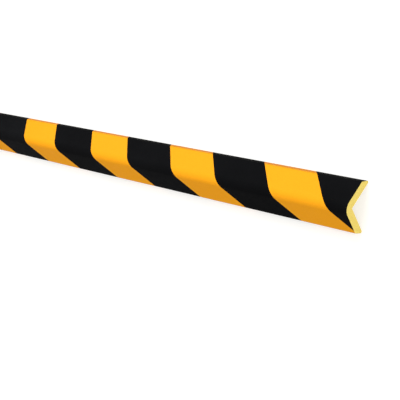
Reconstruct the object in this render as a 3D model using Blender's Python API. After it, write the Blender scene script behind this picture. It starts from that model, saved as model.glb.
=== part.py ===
"""Corner protection profile: one length of soft foam with a right-angled section and hazard stripes.

It lies as it comes to rest, on the edges of its two legs with the rounded corner upwards.
X runs along the length, the legs fall away to +Y and -Y, and z = 0 is the surface it lies on.
"""

from itertools import cycle
from math import acos, ceil, cos, radians, sin, tan

import bmesh
import bpy
from mathutils import Matrix, Vector

# Length and section, in metres
LENGTH = 1.0
LEG = 0.030
WALL = 0.0065
OPENING = radians(90)

# Taper that thins each leg towards its tip, on the outer side
TAPER_LENGTH = 0.0055
TAPER_DEPTH = 0.0049

# Radii of the section's corners
RIDGE_RADIUS = 0.0063
TAPER_RADIUS = 0.0020
TIP_RADIUS = 0.0015
GLUE_EDGE_RADIUS = 0.0007
ROOT_RADIUS = 0.0004

# Stripes, measured along the ridge, and how far their edges lean away from straight across
YELLOW_WIDTH = 0.0447
BLACK_WIDTH = 0.0494
STRIPE_SLANT = radians(38.7)
BLACK_LEFT_AT_END = 0.0165

# Largest distance between an arc and its facets, and the distance below which points are one
FACET_SAG = 0.00002
SNAP = 0.00001

# Share of a corner's shorter side that its rounding may use
CORNER_ROOM = 0.45

# Materials: name, linear colour and roughness, in the order of the slots
FINISHES = (
    ("yellow_skin", (0.93, 0.47, 0.015), 0.42),
    ("black_skin", (0.016, 0.017, 0.020), 0.42),
    ("foam", (0.86, 0.64, 0.16), 0.85),
)
YELLOW, BLACK, FOAM = range(len(FINISHES))


def clear_scene():
    for item in list(bpy.data.objects):
        bpy.data.objects.remove(item, do_unlink=True)


def make_material(name, colour, roughness):
    material = bpy.data.materials.new(name)
    material.use_nodes = True
    shader = material.node_tree.nodes["Principled BSDF"]
    shader.inputs["Base Color"].default_value = (*colour, 1.0)
    shader.inputs["Roughness"].default_value = roughness
    shader.inputs["Metallic"].default_value = 0.0
    return material


def on_leg(side, along, depth):
    """Return the (y, z) of a point of a leg, from its distance along the leg and below the skin."""
    lean = OPENING / 2
    across = along * sin(lean) - depth * cos(lean)
    height = -along * cos(lean) - depth * sin(lean)
    return Vector((side * across, height))


def section_corners():
    """Return the section's sharp corners and their radii, from the -Y glue edge over the ridge."""
    leg = (
        (LEG, WALL, GLUE_EDGE_RADIUS),
        (LEG, TAPER_DEPTH, TIP_RADIUS),
        (LEG - TAPER_LENGTH, 0.0, TAPER_RADIUS),
    )
    left = [(on_leg(-1, along, depth), radius) for along, depth, radius in leg]
    right = [(on_leg(1, along, depth), radius) for along, depth, radius in reversed(leg)]
    ridge = (on_leg(1, 0.0, 0.0), RIDGE_RADIUS)
    root = (on_leg(1, WALL / tan(OPENING / 2), WALL), ROOT_RADIUS)
    return [*left, ridge, *right, root]


def rounded_corner(before, corner, after, radius):
    """Return an arc in place of a corner, with a point at its middle."""
    inwards = (corner - before).normalized()
    onwards = (after - corner).normalized()
    turn = -inwards.angle_signed(onwards)
    room = CORNER_ROOM * min((corner - before).length, (after - corner).length)
    radius = min(radius, room / tan(abs(turn) / 2))
    start = corner - inwards * radius * tan(abs(turn) / 2)
    centre = start + Matrix.Rotation(radians(90) if turn > 0 else radians(-90), 2) @ inwards * radius
    steps = 2 * max(1, ceil(abs(turn) / (4 * acos(1 - FACET_SAG / radius))))
    turns = [Matrix.Rotation(turn * step / steps, 2) for step in range(steps + 1)]
    return [centre + rotation @ (start - centre) for rotation in turns]


def section_outline():
    """Return the printed skin's points from glue edge to glue edge, and the glue side's points."""
    corners = section_corners()
    arcs = []
    for index, (corner, radius) in enumerate(corners):
        before = corners[index - 1][0]
        after = corners[(index + 1) % len(corners)][0]
        arcs.append(rounded_corner(before, corner, after, radius))
    lowest = min(point.y for arc in arcs for point in arc)
    lifted = [[point - Vector((0.0, lowest)) for point in arc] for arc in arcs]
    skin = [point for arc in lifted[:-1] for point in arc]
    return skin, lifted[-1]


def distances_from_ridge(skin):
    """Return how far each point lies from the ridge along the skin, positive on the +Y leg."""
    lengths = [0.0]
    for near, far in zip(skin, skin[1:]):
        lengths.append(lengths[-1] + (far - near).length)
    return [length - lengths[-1] / 2 for length in lengths]


def slanted_ring():
    """Return the section as points on a stripe's edge, which crosses the unrolled skin in one line."""
    skin, glue_side = section_outline()
    distances = distances_from_ridge(skin)
    per_width = distances[-1] / skin[-1].x
    distances += [point.x * per_width for point in glue_side]
    slope = tan(STRIPE_SLANT)
    return [Vector((-slope * far, *point)) for far, point in zip(distances, skin + glue_side)]


def stripes(overrun):
    """Return where the first stripe starts, past the +X end, and the (width, slot) of each stripe."""
    pitch = YELLOW_WIDTH + BLACK_WIDTH
    first = LENGTH / 2 - BLACK_LEFT_AT_END + BLACK_WIDTH
    first += pitch * max(0, ceil((LENGTH / 2 + overrun - first) / pitch))
    bands = []
    covered = 0.0
    for width, slot in cycle(((BLACK_WIDTH, BLACK), (YELLOW_WIDTH, YELLOW))):
        bands.append((width, slot))
        covered += width
        if first - covered < -LENGTH / 2 - overrun:
            return first, bands


def extrude_stripes(mesh):
    """Draw the slanted ring past the +X end and extrude it stripe by stripe towards -X."""
    ring = slanted_ring()
    overrun = max(point.x for point in ring) + SNAP
    first, bands = stripes(overrun)
    verts = [mesh.verts.new(point + Vector((first, 0.0, 0.0))) for point in ring]
    edges = [mesh.edges.new((vert, verts[index - 1])) for index, vert in enumerate(verts)]
    for width, slot in bands:
        grown = bmesh.ops.extrude_edge_only(mesh, edges=edges)["geom"]
        moved = {item for item in grown if isinstance(item, bmesh.types.BMVert)}
        bmesh.ops.translate(mesh, verts=list(moved), vec=(-width, 0.0, 0.0))
        for item in grown:
            if isinstance(item, bmesh.types.BMFace):
                item.material_index = slot
        grown_edges = [item for item in grown if isinstance(item, bmesh.types.BMEdge)]
        edges = [edge for edge in grown_edges if moved.issuperset(edge.verts)]


def saw_end(mesh, side):
    """Cut the profile square at one end and close the cut with a face of bare foam."""
    whole = [*mesh.verts, *mesh.edges, *mesh.faces]
    place = (side * LENGTH / 2, 0.0, 0.0)
    cut = bmesh.ops.bisect_plane(
        mesh, geom=whole, dist=SNAP, plane_co=place, plane_no=(side, 0.0, 0.0), clear_outer=True
    )
    rim = [item for item in cut["geom_cut"] if isinstance(item, bmesh.types.BMEdge)]
    bmesh.ops.edgeloop_fill(mesh, edges=rim, mat_nr=FOAM)


def bare_the_glue_side(mesh):
    """Give the faces that look into the angle the bare foam's material."""
    for face in mesh.faces:
        if face.normal.y * face.calc_center_median().y < 0:
            face.material_index = FOAM


def build_profile():
    mesh = bmesh.new()
    extrude_stripes(mesh)
    saw_end(mesh, 1)
    saw_end(mesh, -1)
    bmesh.ops.recalc_face_normals(mesh, faces=mesh.faces)
    bare_the_glue_side(mesh)
    data = bpy.data.meshes.new("corner_profile")
    mesh.to_mesh(data)
    mesh.free()
    for finish in FINISHES:
        data.materials.append(make_material(*finish))
    data.shade_smooth()
    data.set_sharp_from_angle(angle=radians(30))
    profile = bpy.data.objects.new("corner_profile", data)
    bpy.context.scene.collection.objects.link(profile)


clear_scene()
build_profile()
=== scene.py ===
"""Looks of the corner protection profile: printed skin, bare foam, plain studio and camera.

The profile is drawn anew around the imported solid's place, with the same section and stripes, finer
arcs, slow dips in its skin and open foam cells in its sawn ends. Lengths are in metres.
"""

from itertools import cycle
from math import acos, ceil, cos, radians, sin, sqrt, tan

import bmesh
import bpy
from mathutils import Matrix, Vector, noise
from mathutils.geometry import delaunay_2d_cdt, intersect_point_line


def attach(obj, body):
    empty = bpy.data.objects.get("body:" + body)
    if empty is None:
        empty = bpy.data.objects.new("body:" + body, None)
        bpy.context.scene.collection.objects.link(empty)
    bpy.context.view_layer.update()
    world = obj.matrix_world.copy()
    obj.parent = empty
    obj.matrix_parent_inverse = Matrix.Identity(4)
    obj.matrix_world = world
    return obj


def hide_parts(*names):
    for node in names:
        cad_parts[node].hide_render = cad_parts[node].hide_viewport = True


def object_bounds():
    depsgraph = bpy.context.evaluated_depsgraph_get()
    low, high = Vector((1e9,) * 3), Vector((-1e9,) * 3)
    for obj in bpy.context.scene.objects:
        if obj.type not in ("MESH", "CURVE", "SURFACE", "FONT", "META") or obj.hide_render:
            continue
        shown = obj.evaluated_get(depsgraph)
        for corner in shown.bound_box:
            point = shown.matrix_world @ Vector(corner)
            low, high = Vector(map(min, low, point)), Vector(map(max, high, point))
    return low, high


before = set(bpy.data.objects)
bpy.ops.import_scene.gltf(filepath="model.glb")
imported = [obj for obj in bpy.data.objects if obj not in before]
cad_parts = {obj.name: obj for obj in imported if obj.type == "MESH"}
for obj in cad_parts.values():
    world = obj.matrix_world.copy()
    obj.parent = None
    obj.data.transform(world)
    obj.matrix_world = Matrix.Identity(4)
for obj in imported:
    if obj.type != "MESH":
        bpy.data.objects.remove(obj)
cad_low, cad_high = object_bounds()

# Section of the solid
LENGTH = cad_high.x - cad_low.x
LEG = 0.030
WALL = 0.0065
LEAN = radians(45)
TAPER_LENGTH = 0.0055
TAPER_DEPTH = 0.0049
RIDGE_RADIUS = 0.0063
TAPER_RADIUS = 0.0020
TIP_RADIUS = 0.0015
GLUE_EDGE_RADIUS = 0.0007
ROOT_RADIUS = 0.0004

# Finer arcs than the solid's, spacing of the points on the flats, and the saw's tolerance
FACET_SAG = 0.0000015
FLAT_STEP = 0.003
SNAP = 0.00001
SHARP_ANGLE = radians(35)

# Stripes, measured along the ridge, and the most that one ring of the mesh is from the next
YELLOW_WIDTH = 0.0447
BLACK_WIDTH = 0.0494
STRIPE_SLANT = radians(38.7)
BLACK_LEFT_AT_END = 0.0165
STRIPE_STEP = 0.0045

# Slow dips of the moulded skin: the deepest, and their usual width
DIP_DEPTH = 0.00025
DIP_SIZE = 0.035

# Open cells of the sawn ends, with their walls as a share of a cell
CELL_SIZE = 0.0011
CELL_DEPTH = 0.00022
CELL_WALL = 0.35

# Mesh of the sawn ends: its spacing, its distance from the rim, and when two points are one
CELL_STEP = 0.0003
RIM_ROOM = 0.0002
SAME_PLACE = 0.0000001

# Camera, with the corner of the near end as the point that it is placed from
SHARP_CORNER = Vector((cad_high.x, 0.0, cad_high.z + (sqrt(2) - 1) * RIDGE_RADIUS))
CAMERA_FROM_CORNER = Vector((0.25936, 0.07678, 0.43924))
CAMERA_RIGHT = Vector((0.74104, 0.09830, -0.66423))
CAMERA_DOWN = Vector((0.17790, -0.98262, 0.05305))
CAMERA_LENS = 71.75
CAMERA_SENSOR = 36.0
CAMERA_CLIP = 0.01

# Studio: suns that look wide from the object, as (name, direction, colour, strength)
LIGHT_SPREAD = radians(40)
LIGHTS = (
    ("key", (-0.5, 2.0, 1.3), (0.96, 0.98, 1.0), 1.85),
    ("fill", (1.8, 0.2, 1.8), (1.0, 0.94, 0.82), 1.85),
)

# World: its strength as light on the object, and as the camera and mirrors see it
WORLD_LIGHT = 0.5
WORLD_SEEN = 1.0

# Floor, with the glow that only the camera and mirrors see
FLOOR_SIZE = 30.0
FLOOR_COLOUR = (0.6, 0.6, 0.6)
FLOOR_ROUGHNESS = 0.9
FLOOR_GLOW = 0.5

# Inks: main colour, colour of the faint clouds (on the black also a painted sheen), colour of the
# specks and of the painted shade low on the thin edges, and roughness
YELLOW_INK = ((0.95, 0.395, 0.014), (0.92, 0.375, 0.012), (0.62, 0.22, 0.006), 0.45)
# The black's clouds are lighter and bluer: random tone that also stands in for a painted sheen
BLACK_INK = ((0.0030, 0.0031, 0.0036), (0.0064, 0.0066, 0.0076), (0.001, 0.001, 0.001), 0.72)

# Painted shade: heights between which the ink darkens to its shade colour, low on the tapers
PAINTED_SHADE_HEIGHTS = (0.0088, 0.0072)

# Skin: size of its clouds and of its uneven gloss, and how far the roughness strays
CLOUD_SIZE = 0.09
CLOUD_DETAIL = 2.0
GLOSS_SIZE = 0.006
GLOSS_DETAIL = 4.0
GLOSS_SPREAD = 0.05
SKIN_IOR = 1.45
SKIN_SPECULAR = 0.014

# Grain of the skin, and how far it darkens the ink
GRAIN_SIZE = 0.0008
GRAIN_DETAIL = 5.0
GRAIN_DEPTH = 0.0001
GRAIN_BUMP = 0.4
SPECK_STRENGTH = 0.18

# Values between which noise mostly lies
NOISE_RANGE = (0.3, 0.7)

# Bare foam: size of the fine cells, painted shade colour in their pits, colour on their walls, and
# gloss
FOAM_CELL = 0.0007
FOAM_PIT_SHADE = (0.77, 0.58, 0.118)
FOAM_WALL = (0.88, 0.735, 0.215)
FOAM_ROUGHNESS = 0.85
FOAM_SPECULAR = 0.2
FOAM_BUMP = 0.5
FOAM_BUMP_DEPTH = 0.00015

# Order of the material slots
YELLOW, BLACK, FOAM = range(3)


def on_leg(side, along, depth):
    """Return the (y, z) of a point of a leg, so far along the leg and so far below the skin."""
    across = along * sin(LEAN) - depth * cos(LEAN)
    height = -along * cos(LEAN) - depth * sin(LEAN)
    return Vector((side * across, height))


def section_corners():
    """Return the section's sharp corners and their radii, from the -Y glue edge over the ridge."""
    leg = (
        (LEG, WALL, GLUE_EDGE_RADIUS),
        (LEG, TAPER_DEPTH, TIP_RADIUS),
        (LEG - TAPER_LENGTH, 0.0, TAPER_RADIUS),
    )
    left = [(on_leg(-1, along, depth), radius) for along, depth, radius in leg]
    right = [(on_leg(1, along, depth), radius) for along, depth, radius in reversed(leg)]
    ridge = (on_leg(1, 0.0, 0.0), RIDGE_RADIUS)
    root = (on_leg(1, WALL, WALL), ROOT_RADIUS)
    return [*left, ridge, *right, root]


def rounded_corner(before, corner, after, radius):
    """Return an arc in place of a corner, with a point at its middle."""
    inwards = (corner - before).normalized()
    onwards = (after - corner).normalized()
    turn = -inwards.angle_signed(onwards)
    start = corner - inwards * radius * tan(abs(turn) / 2)
    to_centre = Matrix.Rotation(radians(90) if turn > 0 else radians(-90), 2) @ inwards * radius
    centre = start + to_centre
    steps = 2 * max(1, ceil(abs(turn) / (4 * acos(1 - FACET_SAG / radius))))
    turns = [Matrix.Rotation(turn * step / steps, 2) for step in range(steps + 1)]
    return [centre + rotation @ (start - centre) for rotation in turns]


def with_flats(arcs, closed):
    """Return the arcs' points in one row, with evenly spaced points on the flats between them."""
    row = []
    for index, arc in enumerate(arcs):
        row += arc
        if index == len(arcs) - 1 and not closed:
            break
        start, end = arc[-1], arcs[(index + 1) % len(arcs)][0]
        steps = ceil((end - start).length / FLAT_STEP)
        row += [start.lerp(end, step / steps) for step in range(1, steps)]
    return row


def slanted_ring():
    """Return the section on a stripe's edge as (place, give).

    Give points the way that the skin dips, and is longest at the ridge. It is nothing at the glue
    edges and on the glue side.
    """
    corners = section_corners()
    arcs = []
    for index, (corner, radius) in enumerate(corners):
        before = corners[index - 1][0]
        after = corners[(index + 1) % len(corners)][0]
        arcs.append(rounded_corner(before, corner, after, radius))
    skin = with_flats(arcs[:-1], closed=False)
    whole = with_flats(arcs, closed=True)
    lowest = min(point.y for point in whole)
    lengths = [0.0]
    for near, far in zip(skin, skin[1:]):
        lengths.append(lengths[-1] + (far - near).length)
    reach = lengths[-1] / 2
    per_width = reach / skin[-1].x
    slope = tan(STRIPE_SLANT)
    ring = []
    for index, point in enumerate(whole):
        on_skin = index < len(skin)
        far = lengths[index] - reach if on_skin else point.x * per_width
        along = whole[(index + 1) % len(whole)] - whole[index - 1]
        softness = max(0.0, 1 - (far / reach) ** 2) if on_skin else 0.0
        give = Vector((0.0, along.y, -along.x)).normalized() * softness
        ring.append((Vector((-slope * far, point.x, point.y - lowest)), give))
    return ring


def add_ring(mesh, ring, shift):
    """Draw the ring shifted along X, with the skin dipped a little where the noise says."""
    verts = []
    for place, give in ring:
        shifted = place + Vector((shift, 0.0, 0.0))
        dip = DIP_DEPTH * (0.5 + 0.5 * noise.noise(shifted / DIP_SIZE))
        verts.append(mesh.verts.new(shifted + give * dip))
    return verts


def build_skin(mesh):
    """Draw the slanted ring again and again, past both ends, and join the rings with faces."""
    ring = slanted_ring()
    overrun = max(place.x for place, _ in ring) + SNAP
    pitch = YELLOW_WIDTH + BLACK_WIDTH
    first = LENGTH / 2 - BLACK_LEFT_AT_END + BLACK_WIDTH
    first += pitch * max(0, ceil((LENGTH / 2 + overrun - first) / pitch))
    verts = add_ring(mesh, ring, first)
    covered = 0.0
    for width, slot in cycle(((BLACK_WIDTH, BLACK), (YELLOW_WIDTH, YELLOW))):
        steps = ceil(width / STRIPE_STEP)
        for _ in range(steps):
            covered += width / steps
            moved = add_ring(mesh, ring, first - covered)
            for index in range(len(ring)):
                corners = (verts[index - 1], verts[index], moved[index], moved[index - 1])
                face = mesh.faces.new(corners)
                face.material_index = slot
                face.smooth = True
            verts = moved
        if first - covered < -LENGTH / 2 - overrun:
            break


def rim_in_order(edges):
    """Return the corners of a closed row of edges, one after the other."""
    ways = {}
    for edge in edges:
        for vert in edge.verts:
            ways.setdefault(vert, []).append(edge.other_vert(vert))
    start = edges[0].verts[0]
    row = [start, ways[start][0]]
    while row[-1] is not start:
        onwards = [vert for vert in ways[row[-1]] if vert is not row[-2]]
        row.append(onwards[0])
    return row[:-1]


def cell_depth(place):
    """Return how deep the foam is open at a place of the sawn end, which is nothing on a wall."""
    nearest, second = noise.voronoi(place / CELL_SIZE)[0][:2]
    return CELL_DEPTH * min(1.0, (second - nearest) / CELL_WALL)


def clear_of_rim(place, outline):
    """Say whether a place keeps RIM_ROOM from every edge of the outline."""
    for index, end in enumerate(outline):
        start = outline[index - 1]
        share = intersect_point_line(place, start, end)[1]
        nearest = start.lerp(end, min(1.0, max(0.0, share)))
        if (place - nearest).length < RIM_ROOM:
            return False
    return True


def close_with_foam(mesh, rim, side):
    """Fill the rim of a sawn end with a fine mesh, pressed in where the foam's cells are open."""
    outline = [Vector((vert.co.y, vert.co.z)) for vert in rim]
    low_y, high_y = min(point.x for point in outline), max(point.x for point in outline)
    low_z, high_z = min(point.y for point in outline), max(point.y for point in outline)
    row_step = CELL_STEP * sqrt(3) / 2
    grid = []
    for row in range(1, int((high_z - low_z) / row_step)):
        start = low_y + CELL_STEP / 2 * (row % 2)
        for column in range(1, int((high_y - low_y) / CELL_STEP)):
            place = Vector((start + column * CELL_STEP, low_z + row * row_step))
            if clear_of_rim(place, outline):
                grid.append(place)
    loop = list(range(len(outline)))
    places, _, faces, origins, _, _ = delaunay_2d_cdt(outline + grid, [], [loop], 1, SAME_PLACE)
    verts = {}
    for index in {corner for face in faces for corner in face}:
        known = [origin for origin in origins[index] if origin < len(rim)]
        place = Vector((side * LENGTH / 2, *places[index]))
        inwards = Vector((-side * cell_depth(place), 0.0, 0.0))
        verts[index] = rim[known[0]] if known else mesh.verts.new(place + inwards)
    for corners in faces:
        face = mesh.faces.new([verts[corner] for corner in corners])
        face.material_index = FOAM
        face.smooth = True


def saw_end(mesh, side):
    """Cut the profile square at one end and close the cut with bare foam."""
    whole = [*mesh.verts, *mesh.edges, *mesh.faces]
    place = (side * LENGTH / 2, 0.0, 0.0)
    cut = bmesh.ops.bisect_plane(
        mesh, geom=whole, dist=SNAP, plane_co=place, plane_no=(side, 0.0, 0.0), clear_outer=True
    )
    edges = [item for item in cut["geom_cut"] if isinstance(item, bmesh.types.BMEdge)]
    close_with_foam(mesh, rim_in_order(edges), side)


def bare_the_glue_side(mesh):
    """Give the faces that look into the angle the bare foam's material."""
    for face in mesh.faces:
        if face.normal.y * face.calc_center_median().y < 0:
            face.material_index = FOAM


def build_profile():
    mesh = bmesh.new()
    build_skin(mesh)
    saw_end(mesh, 1)
    saw_end(mesh, -1)
    bmesh.ops.recalc_face_normals(mesh, faces=mesh.faces)
    bare_the_glue_side(mesh)
    data = bpy.data.meshes.new("striped_profile")
    mesh.to_mesh(data)
    mesh.free()
    data.set_sharp_from_angle(angle=SHARP_ANGLE)
    profile = bpy.data.objects.new("striped_profile", data)
    bpy.context.scene.collection.objects.link(profile)
    return profile


def new_material(name):
    material = bpy.data.materials.new(name)
    material.use_nodes = True
    return material, material.node_tree.nodes, material.node_tree.links


def noise_node(nodes, links, place, size, detail):
    """Return noise at a place, with features of about the given size."""
    texture = nodes.new("ShaderNodeTexNoise")
    texture.inputs["Scale"].default_value = 1 / size
    texture.inputs["Detail"].default_value = detail
    links.new(place, texture.inputs["Vector"])
    return texture.outputs["Fac"]


def remap(nodes, links, value, start, end, low=0.0, high=1.0):
    """Turn a value that goes from start to end into one that goes from low to high."""
    mapped = nodes.new("ShaderNodeMapRange")
    mapped.inputs["From Min"].default_value = start
    mapped.inputs["From Max"].default_value = end
    mapped.inputs["To Min"].default_value = low
    mapped.inputs["To Max"].default_value = high
    links.new(value, mapped.inputs["Value"])
    return mapped.outputs["Result"]


def set_colour(links, socket, colour):
    """Set a mix's colour, or link what makes it."""
    if isinstance(colour, tuple):
        socket.default_value = (*colour, 1.0)
    else:
        links.new(colour, socket)


def blended(nodes, links, factor, first, second):
    """Return the first colour where the factor is 0 and the second where it is 1."""
    mix = nodes.new("ShaderNodeMix")
    mix.data_type = "RGBA"
    set_colour(links, mix.inputs["A"], first)
    set_colour(links, mix.inputs["B"], second)
    links.new(factor, mix.inputs["Factor"])
    return mix.outputs["Result"]


def skin_material(name, colour, cloud_and_sheen_colour, speck_and_shade_colour, roughness):
    """Printed skin: clouded ink (on the black partly a painted sheen), darker in specks, with
    painted shade low on the thin edges, and fine grain.
    """
    material, nodes, links = new_material(name)
    shader = nodes["Principled BSDF"]
    place = nodes.new("ShaderNodeTexCoord").outputs["Object"]
    cloud = noise_node(nodes, links, place, CLOUD_SIZE, CLOUD_DETAIL)
    clouds = remap(nodes, links, cloud, *NOISE_RANGE)
    parts = nodes.new("ShaderNodeSeparateXYZ")
    links.new(place, parts.inputs["Vector"])
    # Painted shade: the ink darkens towards the bottom of the tapers, between the two heights
    edge = remap(nodes, links, parts.outputs["Z"], *PAINTED_SHADE_HEIGHTS)
    grain = noise_node(nodes, links, place, GRAIN_SIZE, GRAIN_DETAIL)
    specks = remap(nodes, links, grain, *NOISE_RANGE, 0.0, SPECK_STRENGTH)
    # Random clouds of the second ink colour; on the black they also act as a painted sheen
    print_colour = blended(nodes, links, clouds, colour, cloud_and_sheen_colour)
    speckled = blended(nodes, links, specks, print_colour, speck_and_shade_colour)
    links.new(blended(nodes, links, edge, speckled, speck_and_shade_colour), shader.inputs["Base Color"])
    gloss = noise_node(nodes, links, place, GLOSS_SIZE, GLOSS_DETAIL)
    roughnesses = (roughness - GLOSS_SPREAD, roughness + GLOSS_SPREAD)
    uneven = remap(nodes, links, gloss, *NOISE_RANGE, *roughnesses)
    links.new(uneven, shader.inputs["Roughness"])
    bump = nodes.new("ShaderNodeBump")
    bump.inputs["Strength"].default_value = GRAIN_BUMP
    bump.inputs["Distance"].default_value = GRAIN_DEPTH
    links.new(grain, bump.inputs["Height"])
    links.new(bump.outputs["Normal"], shader.inputs["Normal"])
    shader.inputs["IOR"].default_value = SKIN_IOR
    shader.inputs["Specular IOR Level"].default_value = SKIN_SPECULAR
    return material


def foam_material():
    """Bare soft foam: fine open cells, with painted shade darkening their pits."""
    material, nodes, links = new_material("bare_foam")
    shader = nodes["Principled BSDF"]
    place = nodes.new("ShaderNodeTexCoord").outputs["Object"]
    cells = nodes.new("ShaderNodeTexVoronoi")
    cells.inputs["Scale"].default_value = 1 / FOAM_CELL
    links.new(place, cells.inputs["Vector"])
    # Painted shade: the cells turn darker towards their centres, as if shaded in their pits
    pit_shaded_colour = blended(nodes, links, cells.outputs["Distance"], FOAM_PIT_SHADE, FOAM_WALL)
    links.new(pit_shaded_colour, shader.inputs["Base Color"])
    shader.inputs["Roughness"].default_value = FOAM_ROUGHNESS
    shader.inputs["Specular IOR Level"].default_value = FOAM_SPECULAR
    bump = nodes.new("ShaderNodeBump")
    bump.inputs["Strength"].default_value = FOAM_BUMP
    bump.inputs["Distance"].default_value = FOAM_BUMP_DEPTH
    links.new(cells.outputs["Distance"], bump.inputs["Height"])
    links.new(bump.outputs["Normal"], shader.inputs["Normal"])
    return material


def brighter_when_seen(nodes, links, lighting, seen):
    """Return one strength for lighting the object, and another for the camera and mirrors."""
    rays = nodes.new("ShaderNodeLightPath").outputs
    mirrors = nodes.new("ShaderNodeMath")
    mirrors.operation = "MAXIMUM"
    links.new(rays["Is Glossy Ray"], mirrors.inputs[0])
    links.new(rays["Is Transmission Ray"], mirrors.inputs[1])
    eyes = nodes.new("ShaderNodeMath")
    eyes.operation = "MAXIMUM"
    links.new(rays["Is Camera Ray"], eyes.inputs[0])
    links.new(mirrors.outputs["Value"], eyes.inputs[1])
    strength = nodes.new("ShaderNodeMix")
    strength.inputs["A"].default_value = lighting
    strength.inputs["B"].default_value = seen
    links.new(eyes.outputs["Value"], strength.inputs["Factor"])
    return strength.outputs["Result"]


def floor_material():
    """Pale floor: white to the camera where no shadow falls, and open to a view from below."""
    material, nodes, links = new_material("floor")
    shader = nodes["Principled BSDF"]
    output = nodes["Material Output"]
    shader.inputs["Base Color"].default_value = (*FLOOR_COLOUR, 1.0)
    shader.inputs["Roughness"].default_value = FLOOR_ROUGHNESS
    shader.inputs["Specular IOR Level"].default_value = 0.0
    shader.inputs["Emission Color"].default_value = (1.0, 1.0, 1.0, 1.0)
    glow = brighter_when_seen(nodes, links, 0.0, FLOOR_GLOW)
    links.new(glow, shader.inputs["Emission Strength"])
    see_through = nodes.new("ShaderNodeBsdfTransparent")
    below = nodes.new("ShaderNodeMixShader")
    links.new(nodes.new("ShaderNodeNewGeometry").outputs["Backfacing"], below.inputs["Fac"])
    links.new(shader.outputs["BSDF"], below.inputs[1])
    links.new(see_through.outputs["BSDF"], below.inputs[2])
    links.new(below.outputs["Shader"], output.inputs["Surface"])
    return material


def build_floor():
    bpy.ops.mesh.primitive_plane_add(size=FLOOR_SIZE)
    floor = bpy.context.object
    floor.name = "floor"
    floor.data.materials.append(floor_material())


def light_world():
    """Even pale light from all round, and a white background for the camera."""
    world = bpy.data.worlds.new("studio")
    bpy.context.scene.world = world
    world.use_nodes = True
    nodes, links = world.node_tree.nodes, world.node_tree.links
    nodes["Background"].inputs["Color"].default_value = (1.0, 1.0, 1.0, 1.0)
    strength = brighter_when_seen(nodes, links, WORLD_LIGHT, WORLD_SEEN)
    links.new(strength, nodes["Background"].inputs["Strength"])


def add_soft_light(name, direction, colour, strength):
    """Light everything evenly from one direction, with shadows as soft as a softbox gives."""
    light = bpy.data.lights.new(name, "SUN")
    light.angle = LIGHT_SPREAD
    light.color = colour
    light.energy = strength
    lamp = bpy.data.objects.new(name, light)
    lamp.location = direction
    lamp.rotation_euler = (-Vector(direction)).to_track_quat("-Z", "Y").to_euler()
    bpy.context.scene.collection.objects.link(lamp)


def add_camera():
    """Stand the camera where the photo was taken from, with the photo's roll."""
    data = bpy.data.cameras.new("camera")
    data.sensor_width = CAMERA_SENSOR
    data.lens = CAMERA_LENS
    data.clip_start = CAMERA_CLIP
    camera = bpy.data.objects.new("camera", data)
    right = CAMERA_RIGHT.normalized()
    backward = right.cross(-CAMERA_DOWN).normalized()
    upward = backward.cross(right)
    turn = Matrix((right, upward, backward)).transposed()
    camera.matrix_world = Matrix.LocRotScale(SHARP_CORNER + CAMERA_FROM_CORNER, turn, None)
    bpy.context.scene.collection.objects.link(camera)
    bpy.context.scene.camera = camera


add_camera()
build_floor()
light_world()
for light in LIGHTS:
    add_soft_light(*light)

profile = build_profile()
profile.data.materials.append(skin_material("yellow_skin", *YELLOW_INK))
profile.data.materials.append(skin_material("black_skin", *BLACK_INK))
profile.data.materials.append(foam_material())
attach(profile, "root")
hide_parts("corner_profile")

bpy.context.scene.view_settings.view_transform = "Standard"
